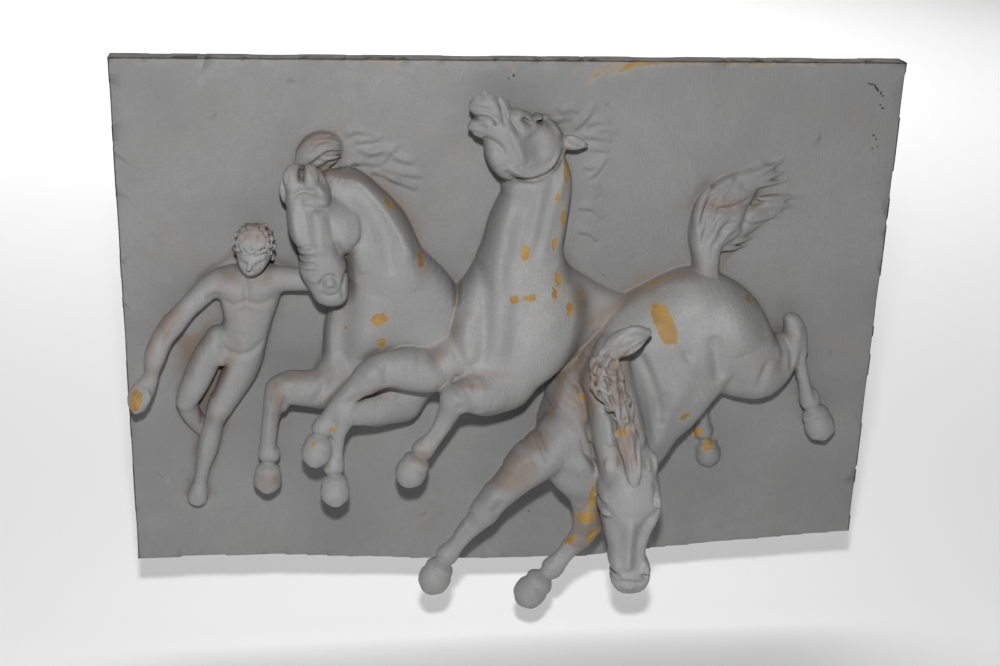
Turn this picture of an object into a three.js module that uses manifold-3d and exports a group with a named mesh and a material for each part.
// A wall plaque cast in one piece: three horses and a groom in high relief on a plain panel.
// Millimetres. The back of the panel is y = 0, its front faces -Y, and the origin is the centre of the back.
import * as THREE from "three";
import { mergeVertices } from "three/addons/utils/BufferGeometryUtils.js";
import Module from "manifold-3d";

const wasm = await Module();
wasm.setup();

// Driving dimensions
const panelWidth = 1000;
const panelHeight = 680;
const panelThickness = 30;
const bottomSag = 20; // how far the rough lower edge hangs below the square panel
const viewFootX = -266; // the figures' places are read from an eye that stands over this point
const viewFootZ = 681;
const viewDistance = 1849;
const buriedDepth = 6; // how far a figure is carried into the panel behind it
const limbSides = 8;
const bodySides = 12;
const lumpSides = 6;
const lumpRows = 4;
const lockSides = 4;

const halfWidth = panelWidth / 2;
const halfHeight = panelHeight / 2;

// A point seen at (x, z) on the panel's front, raised by out, is drawn back along its line of sight.
function place(x, z, out) {
  const keep = (viewDistance - out) / viewDistance;
  return new THREE.Vector3(
    viewFootX + (x - viewFootX) * keep,
    -panelThickness - out,
    viewFootZ + (z - viewFootZ) * keep,
  );
}

function solidOf(geometry) {
  geometry.deleteAttribute("normal");
  geometry.deleteAttribute("uv");
  const merged = mergeVertices(geometry, 1e-4);
  return new wasm.Manifold(
    new wasm.Mesh({
      numProp: 3,
      vertProperties: new Float32Array(merged.attributes.position.array),
      triVerts: new Uint32Array(merged.index.array),
    }),
  );
}

// A closed skin over rings of points, with a flat fan over each end.
function skin(rings) {
  const sides = rings[0].points.length;
  const last = rings.length - 1;
  const positions = rings.flatMap((ring) => ring.points.flatMap((p) => p.toArray()));
  positions.push(...rings[0].centre.toArray(), ...rings[last].centre.toArray());
  const index = [];
  for (let j = 0; j < sides; j++) {
    const k = (j + 1) % sides;
    for (let i = 0; i < last; i++) {
      const [a, b, c, d] = [i * sides + j, i * sides + k, (i + 1) * sides + k, (i + 1) * sides + j];
      index.push(a, b, c, a, c, d);
    }
    index.push((last + 1) * sides, k, j);
    index.push((last + 1) * sides + 1, last * sides + j, last * sides + k);
  }
  const geometry = new THREE.BufferGeometry();
  geometry.setAttribute("position", new THREE.Float32BufferAttribute(positions, 3));
  geometry.setIndex(index);
  return solidOf(geometry);
}

function ring(centre, across, deep, along, sides) {
  const turn = new THREE.Vector3().crossVectors(across, deep).dot(along) < 0 ? -1 : 1;
  const points = [];
  for (let j = 0; j < sides; j++) {
    const angle = (turn * 2 * Math.PI * j) / sides;
    const point = centre.clone();
    point.addScaledVector(across, Math.cos(angle));
    point.addScaledVector(deep, Math.sin(angle));
    points.push(point);
  }
  return { centre, points };
}

// A smooth run through rows of numbers, with some steps between each pair of rows.
function eased(rows, steps) {
  const out = [];
  const at = (i, k) => rows[Math.min(Math.max(i, 0), rows.length - 1)][k];
  for (let i = 0; i < rows.length - 1; i++) {
    for (let s = 0; s < steps; s++) {
      const t = s / steps;
      out.push(
        rows[i].map((value, k) => {
          const [p, q, r, w] = [at(i - 1, k), value, at(i + 1, k), at(i + 2, k)];
          const bend = 2 * p - 5 * q + 4 * r - w + t * (3 * (q - r) + w - p);
          return q + 0.5 * t * (r - p + t * bend);
        }),
      );
    }
  }
  out.push(rows[rows.length - 1]);
  return out;
}

// A limb follows rows of [x, z, out, half width, half depth].
function limb(rows, sides = limbSides) {
  const run = rows.map(([x, z, out, wide, deep]) => [x, z, out, wide, deep ?? wide]);
  const centres = run.map(([x, z, out]) => place(x, z, out));
  const rings = run.map((row, i) => {
    const before = centres[Math.max(i - 1, 0)];
    const after = centres[Math.min(i + 1, run.length - 1)];
    const along = new THREE.Vector3().subVectors(after, before).normalize();
    const across = new THREE.Vector3().crossVectors(along, new THREE.Vector3(0, -1, 0)).normalize();
    const deep = new THREE.Vector3().crossVectors(across, along).normalize();
    return ring(centres[i], across.multiplyScalar(row[3]), deep.multiplyScalar(row[4]), along, sides);
  });
  return skin(rings);
}

// A body follows rows of [x and z of one edge, x and z of the other edge, out, half depth].
function body(rows, steps = 2) {
  const run = eased(rows, steps);
  const edges = run.map(([xa, za, xb, zb, out]) => [place(xa, za, out), place(xb, zb, out)]);
  const centres = edges.map(([a, b]) => new THREE.Vector3().addVectors(a, b).multiplyScalar(0.5));
  const rings = run.map((row, i) => {
    const before = centres[Math.max(i - 1, 0)];
    const after = centres[Math.min(i + 1, run.length - 1)];
    const along = new THREE.Vector3().subVectors(after, before);
    const across = new THREE.Vector3().subVectors(edges[i][1], edges[i][0]).multiplyScalar(0.5);
    return ring(centres[i], across, new THREE.Vector3(0, -row[5], 0), along, bodySides);
  });
  return skin(rings);
}

// A rounded lump: half sizes across, up and out, turned in the plane of the panel.
function lump(x, z, out, halfSizes, turn = 0) {
  const geometry = new THREE.SphereGeometry(1, lumpSides, lumpRows);
  geometry.scale(halfSizes[0], halfSizes[2], halfSizes[1]);
  geometry.rotateY(-THREE.MathUtils.degToRad(turn));
  geometry.translate(...place(x, z, out).toArray());
  return solidOf(geometry);
}

// A lock of hair runs from [x, z, out] by way of a bend to its tip, thickest in its first half.
function lock(from, by, to, radius) {
  const share = [0.75, 1, 0.7, 0.25];
  const rows = share.map((part, i) => {
    const t = i / (share.length - 1);
    const point = from.map((v, k) => (1 - t) ** 2 * v + 2 * t * (1 - t) * by[k] + t * t * to[k]);
    return [...point, radius * part];
  });
  return limb(rows, lockSides);
}

// Each row of a fan of locks is [x, z of the root, x, z of the bend, x, z of the tip, radius].
function fan(out, rows) {
  return rows.map((r) => lock([r[0], r[1], out], [r[2], r[3], out], [r[4], r[5], out], r[6]));
}

// The groom, in the lowest relief, leans away and leads with both arms.
function groom() {
  return [
    body([
      [-356, 122, -318, 127, 22, 10],
      [-360, 112, -308, 117, 24, 22],
      [-358, 95, -307, 98, 26, 26],
      [-353, 78, -315, 82, 26, 23],
      [-347, 64, -328, 70, 24, 12],
    ], 1),
    body([
      [-370, 72, -314, 76, 4, 16],
      [-382, 60, -300, 64, 6, 24],
      [-380, 44, -298, 48, 6, 27],
      [-377, 24, -304, 26, 6, 27],
      [-374, 6, -311, 6, 6, 25],
      [-379, -14, -317, -16, 6, 25],
      [-384, -34, -322, -34, 6, 26],
      [-380, -52, -330, -54, 6, 20],
    ], 1),
    limb([[-340, 60, 14, 16], [-336, 84, 24, 14]]),
    limb([
      [-378, 54, 12, 17], [-392, 46, 16, 15.5], [-408, 31, 20, 14], [-422, 17, 25, 13.5],
      [-438, -2, 30, 14.5], [-453, -22, 36, 13.5], [-463, -46, 42, 13.5], [-467, -64, 46, 9.5],
      [-471, -78, 50, 9],
    ]),
    limb([
      [-470, -76, 50, 9], [-477, -88, 52, 13], [-486, -102, 54, 15], [-489, -114, 54, 12],
      [-491, -124, 54, 6],
    ]),
    limb([
      [-322, 57, 12, 17], [-302, 58, 20, 16], [-280, 57, 26, 15], [-262, 56, 30, 14],
      [-240, 52, 34, 11],
    ]),
    limb([
      [-352, -44, 8, 28, 24], [-356, -66, 11, 23.5, 24], [-369, -90, 13, 21, 22],
      [-381, -114, 14, 17.5, 19],
      [-391, -137, 14, 13.5, 16], [-395, -152, 12, 14, 16], [-401, -176, 11, 14, 16],
      [-407, -200, 9, 10.5, 13],
      [-412, -224, 7, 9.5, 12], [-415, -239, 9, 12.5, 13], [-418, -258, 11, 12, 9],
    ]),
    limb([
      [-380, -24, 10, 19, 20], [-396, -48, 15, 19.5], [-408, -72, 20, 18.5], [-419, -94, 24, 16.5],
      [-426, -114, 24, 13],
    ]),
    limb([
      [-426, -106, 20, 13.5], [-421, -126, 12, 13, 13], [-412, -142, 5, 11, 11],
      [-403, -155, 0, 9, 9],
    ]),
    ...curls(),
  ];
}

// Short curls ring the groom's bowed head above the brow.
function curls() {
  const centre = [-333, 108];
  const count = 8;
  const startTurn = -20;
  const turnStep = 31.5;
  const solids = [];
  for (let i = 0; i < count; i++) {
    const angle = THREE.MathUtils.degToRad(startTurn + i * turnStep);
    const x = centre[0] + 23 * Math.cos(angle);
    const z = centre[1] + 20 * Math.sin(angle);
    solids.push(lump(x, z, 34, [7, 5.5, 7], i * turnStep));
  }
  return solids;
}

// The front horse stands out most and lowers its head past the panel's edge.
function frontHorse() {
  return [
    body([
      [330, 10, 357, -60, 0, 50],
      [312, 36, 354, -104, 0, 74],
      [285, 58, 328, -117, 0, 84],
      [240, 67, 296, -104, 0, 87],
      [200, 57, 270, -132, 2, 88],
      [160, 33, 238, -163, 4, 92],
      [119, -11, 220, -180, 6, 98],
      [85, -51, 205, -200, 8, 104],
      [58, -100, 180, -222, 10, 106],
      [42, -150, 140, -246, 12, 102],
      [38, -180, 100, -243, 14, 92],
      [44, -204, 76, -232, 14, 70],
    ]),
    body([
      [118, -50, 160, -44, 70, 26],
      [104, -90, 166, -84, 84, 34],
      [102, -135, 176, -128, 94, 38],
      [107, -175, 186, -166, 104, 40],
      [120, -212, 194, -204, 116, 42],
      [130, -240, 204, -236, 126, 44],
    ], 1),
    body([
      [148, -184, 194, -182, 104, 26],
      [144, -208, 202, -206, 120, 36],
      [135, -238, 213, -238, 129, 43],
      [132, -266, 218, -266, 132, 45],
      [134, -290, 214, -288, 132, 44],
      [140, -320, 206, -320, 132, 38],
      [146, -346, 203, -344, 134, 32],
      [152, -372, 204, -372, 136, 29],
      [157, -394, 207, -392, 137, 27],
      [167, -409, 200, -409, 135, 17],
    ], 1),
    limb([[148, -222, 150, 7], [147, -232, 156, 8], [144, -244, 152, 6]]),
    limb([[203, -222, 146, 7], [206, -232, 150, 8], [208, -244, 146, 6]]),
    lump(139, -292, 162, [8, 9, 8]),
    lump(213, -290, 158, [8, 9, 8]),
    lump(163, -396, 158, [7, 9, 8], 20),
    lump(199, -396, 158, [7, 9, 8], -20),
    lump(180, -408, 140, [15, 10, 22]),
    ...frontMane(),
    limb([
      [70, -178, 70, 36, 40], [44, -204, 82, 31, 34], [15, -232, 88, 26, 27], [-10, -262, 90, 21, 22],
      [-25, -281, 90, 21.5], [-40, -300, 88, 17], [-58, -322, 85, 14.5], [-72, -340, 84, 15],
      [-81, -352, 84, 18], [-87, -364, 87, 14], [-93, -376, 92, 18, 18], [-102, -398, 98, 22, 22],
    ]),
    limb([
      [108, -225, 60, 30, 34], [113, -262, 72, 24, 27], [119, -296, 82, 20], [117, -316, 84, 21],
      [106, -334, 82, 17], [92, -350, 80, 14.5], [76, -370, 80, 15], [64, -386, 80, 18],
      [55, -398, 84, 15], [46, -408, 88, 18, 18], [28, -430, 94, 23, 22],
    ]),
    limb([
      [318, -70, 20, 48, 40], [345, -82, 24, 38, 34], [366, -66, 26, 29, 27], [382, -42, 26, 22, 22],
      [387, -22, 26, 18, 18],
    ]),
    limb([
      [386, -4, 25, 9, 12], [388, -24, 26, 17, 17], [394, -52, 25, 16, 15], [404, -80, 24, 13],
      [411, -100, 24, 12], [418, -122, 24, 15], [425, -136, 25, 13], [432, -150, 26, 17],
      [445, -176, 28, 20],
    ]),
    limb([
      [262, -110, 0, 17, 14], [266, -140, 0, 13, 13], [271, -166, 0, 13, 13], [277, -184, 0, 12, 12],
      [281, -196, 0, 16, 13], [286, -216, 0, 17, 13],
    ]),
    ...tail(),
  ];
}

// The front horse's mane falls in heavy locks over its neck and ends in a forelock between the eyes.
function frontMane() {
  return [
    limb([
      [128, -58, 106, 11], [138, -46, 114, 15], [152, -38, 120, 18], [168, -30, 120, 15],
      [190, -23, 112, 6],
    ]),
    limb([
      [130, -54, 110, 10], [121, -68, 118, 15], [123, -90, 126, 20], [136, -108, 132, 19],
      [150, -122, 132, 14],
    ]),
    limb([[148, -114, 130, 12], [156, -136, 134, 16], [161, -156, 140, 16], [160, -180, 144, 12]]),
    limb([
      [157, -164, 142, 12], [163, -188, 152, 16], [172, -214, 166, 17], [177, -236, 176, 12],
      [178, -258, 177, 5],
    ]),
  ];
}

// The tail stands up from the rump and blows back in three hanks.
function tail() {
  return [
    body([
      [238, 44, 276, 46, 4, 27],
      [237, 76, 273, 76, 4, 26],
      [231, 104, 284, 100, 4, 23],
      [233, 130, 300, 120, 3, 21],
      [240, 152, 306, 140, 2, 17],
    ], 1),
    limb([
      [262, 132, 10, 23, 18], [270, 156, 10, 30, 19], [288, 176, 6, 28, 16], [312, 191, 2, 20, 12],
      [338, 205, -2, 9, 8], [350, 212, -2, 4, 5],
    ], bodySides),
    limb([[284, 110, 8, 17, 14], [308, 124, 6, 21, 13], [338, 144, 2, 18, 10], [376, 162, -2, 8, 6]]),
    limb([[270, 84, 10, 9], [282, 95, 9, 8], [304, 99, 4, 6], [324, 107, 0, 4]]),
    ...fan(8, [
      [300, 150, 334, 158, 362, 178, 5],
      [314, 178, 336, 186, 352, 212, 4],
      [300, 116, 326, 114, 348, 122, 4],
    ]),
  ];
}

// The middle horse rears with its head thrown back.
function middleHorse() {
  return [
    body([
      [-14, 205, 66, 215, 12, 40],
      [-18, 190, 71, 192, 12, 44],
      [-15, 167, 70, 167, 12, 46],
      [-31, 134, 66, 134, 12, 50],
      [-42, 98, 63, 95, 12, 56],
      [-61, 60, 80, 58, 10, 68],
      [-88, 30, 110, 36, 6, 82],
      [-101, -5, 130, 10, 4, 90],
      [-112, -38, 120, -30, 2, 94],
      [-108, -72, 84, -66, 2, 92],
      [-78, -104, 38, -90, 2, 84],
      [-52, -128, 8, -118, 2, 66],
      [-36, -138, -10, -134, 2, 40],
    ]),
    body([
      [-60, 282, -60, 256, 44, 10],
      [-54, 294, -50, 245, 44, 19],
      [-36, 300, -38, 233, 44, 26],
      [-16, 288, -33, 208, 42, 29],
      [4, 277, -22, 196, 40, 33],
      [26, 271, 4, 190, 30, 35],
      [42, 261, 32, 193, 18, 33],
      [56, 246, 51, 207, 10, 25],
    ], 1),
    lump(-46, 286, 56, [12, 10, 10], 10),
    lump(-50, 254, 52, [13, 8, 12], -30),
    lump(-2, 270, 60, [9, 7, 8], -20),
    limb([[28, 262, 44, 10], [38, 270, 46, 8], [44, 266, 46, 6]]),
    limb([[54, 236, 24, 8], [66, 234, 30, 10], [78, 232, 30, 7.5], [92, 231, 24, 2]]),
    limb([
      [-88, -62, 44, 34, 40], [-112, -72, 60, 29, 32], [-140, -70, 74, 25, 27], [-164, -68, 84, 22],
      [-182, -74, 88, 22], [-200, -90, 86, 17], [-216, -107, 83, 14.5], [-234, -128, 80, 14],
      [-246, -143, 78, 15.5], [-251, -160, 78, 16.5], [-252, -170, 82, 14], [-256, -182, 86, 19, 18],
      [-259, -202, 90, 21, 20],
    ]),
    limb([
      [-14, -96, 60, 32, 34], [-40, -108, 78, 25, 27], [-64, -112, 88, 20], [-78, -122, 88, 19],
      [-94, -148, 84, 14.5], [-112, -172, 80, 14], [-124, -188, 78, 15.5], [-128, -198, 80, 14],
      [-133, -210, 84, 19, 18], [-138, -234, 88, 21, 20],
    ]),
    ...fan(1, [
      [44, 262, 70, 290, 118, 280, 5],
      [58, 250, 84, 262, 119, 254, 4],
      [86, 262, 96, 292, 74, 286, 4],
      [108, 226, 120, 204, 92, 190, 4],
      [76, 196, 96, 176, 114, 160, 3.5],
      [74, 170, 92, 150, 112, 134, 3.5],
    ]),
  ];
}

// The left horse bends its head down towards the groom.
function leftHorse() {
  return [
    body([
      [-262, 176, -232, 198, 26, 20],
      [-236, 150, -200, 197, 20, 38],
      [-224, 122, -165, 176, 14, 48],
      [-220, 92, -139, 146, 8, 55],
      [-222, 60, -117, 98, 4, 60],
      [-232, 30, -98, 60, 2, 64],
      [-241, 5, -84, 20, 0, 66],
      [-246, -25, -90, -25, 0, 66],
      [-248, -60, -104, -74, 0, 62],
      [-240, -96, -122, -110, 0, 52],
      [-222, -122, -142, -134, 0, 40],
      [-208, -138, -160, -146, 0, 24],
    ]),
    body([
      [-289, 192, -246, 194, 46, 20],
      [-291, 172, -236, 174, 50, 32],
      [-290, 152, -230, 152, 52, 38],
      [-288, 128, -230, 128, 54, 38],
      [-281, 106, -226, 106, 56, 35],
      [-277, 84, -220, 84, 58, 31],
      [-275, 64, -216, 62, 58, 28],
      [-265, 47, -219, 43, 58, 24],
      [-252, 31, -229, 29, 56, 13],
    ], 1),
    lump(-224, 132, 46, [29, 39, 40], 6),
    lump(-252, 159, 84, [10, 7, 9]),
    lump(-268, 74, 76, [10, 16, 10], 10),
    lump(-237, 46, 76, [12, 14, 12], 20),
    limb([[-215, 64, 58, 4], [-214, 52, 60, 7], [-216, 40, 58, 7], [-226, 30, 54, 5]]),
    limb([[-281, 176, 62, 9], [-284, 188, 66, 11], [-283, 198, 64, 9.5], [-278, 206, 60, 5]]),
    limb([[-262, 180, 66, 9], [-263, 190, 70, 11], [-262, 200, 68, 9.5], [-264, 208, 62, 5]]),
    limb([[-252, 178, 58, 7], [-251, 190, 58, 6], [-256, 203, 56, 4]]),
    limb([[-291, 162, 46, 6], [-295, 178, 48, 6], [-295, 192, 46, 3]]),
    limb([
      [-228, -76, 30, 36, 30], [-244, -94, 34, 28], [-268, -94, 40, 24], [-292, -92, 44, 22],
      [-305, -96, 45, 20],
    ]),
    limb([
      [-303, -92, 45, 19], [-310, -112, 44, 18], [-315, -132, 42, 14], [-320, -162, 40, 14],
      [-322, -190, 39, 15], [-322, -200, 40, 16], [-322, -210, 43, 14], [-323, -220, 46, 18, 17],
      [-325, -238, 50, 20, 18],
    ]),
    limb([
      [-150, -118, 30, 30, 30], [-182, -126, 52, 24, 26], [-208, -126, 72, 20],
      [-222, -128, 80, 18],
    ]),
    limb([
      [-221, -122, 80, 17], [-226, -142, 80, 15], [-230, -165, 79, 11.5], [-234, -194, 78, 11],
      [-235, -212, 78, 14], [-234, -224, 80, 16], [-233, -234, 84, 14], [-232, -244, 88, 18, 17],
      [-231, -264, 92, 20, 19],
    ]),
    limb([
      [-272, 202, 6, 10, 12], [-260, 220, 4, 19, 15], [-244, 232, 0, 21, 16],
      [-224, 232, -4, 15, 12],
    ], bodySides),
    ...fan(0, [
      [-236, 240, -214, 256, -176, 247, 4],
      [-222, 228, -184, 244, -148, 224, 4],
      [-206, 208, -180, 216, -150, 206, 3.5],
      [-168, 196, -140, 200, -122, 178, 3.5],
    ]),
  ];
}

// The panel's outline is straight on three sides and sags a little along the bottom.
function panel() {
  const bottom = [
    [-halfWidth, 0], [-330, 0], [-100, 0.8], [40, 1], [125, 1], [230, 0.5], [halfWidth - 14, -0.3],
  ];
  const shape = new THREE.Shape();
  shape.moveTo(-halfWidth, halfHeight);
  for (const [x, share] of bottom) {
    shape.lineTo(x, -halfHeight - share * bottomSag);
  }
  shape.lineTo(halfWidth, -halfHeight + bottomSag);
  shape.lineTo(halfWidth, halfHeight);
  const geometry = new THREE.ExtrudeGeometry(shape, { depth: panelThickness, bevelEnabled: false });
  geometry.rotateX(Math.PI / 2);
  return solidOf(geometry);
}

// Everything the figures may fill: from just inside the panel outwards.
function roomInFront() {
  const reach = 3 * panelWidth;
  const geometry = new THREE.BoxGeometry(reach, reach, reach);
  geometry.translate(0, -panelThickness + buriedDepth - reach / 2, 0);
  return solidOf(geometry);
}

const figures = [...groom(), ...leftHorse(), ...middleHorse(), ...frontHorse()];
const carved = figures.reduce((whole, piece) => whole.add(piece)).intersect(roomInFront());
const shells = panel().add(carved).decompose(); // the outer skin, and any hollow sealed inside it
const outer = shells.reduce((largest, shell) => (shell.volume() > largest.volume() ? shell : largest));
const made = outer.getMesh();

const geometry = new THREE.BufferGeometry();
geometry.setAttribute("position", new THREE.BufferAttribute(made.vertProperties, 3));
geometry.setIndex(new THREE.BufferAttribute(made.triVerts, 1));
const greyCoat = new THREE.MeshStandardMaterial({ color: 0x9a9c9e, roughness: 0.8, metalness: 0 });
const reliefPlaque = new THREE.Mesh(geometry, greyCoat);
reliefPlaque.name = "relief_plaque";

const plaque = new THREE.Group();
plaque.add(reliefPlaque);

export default plaque;
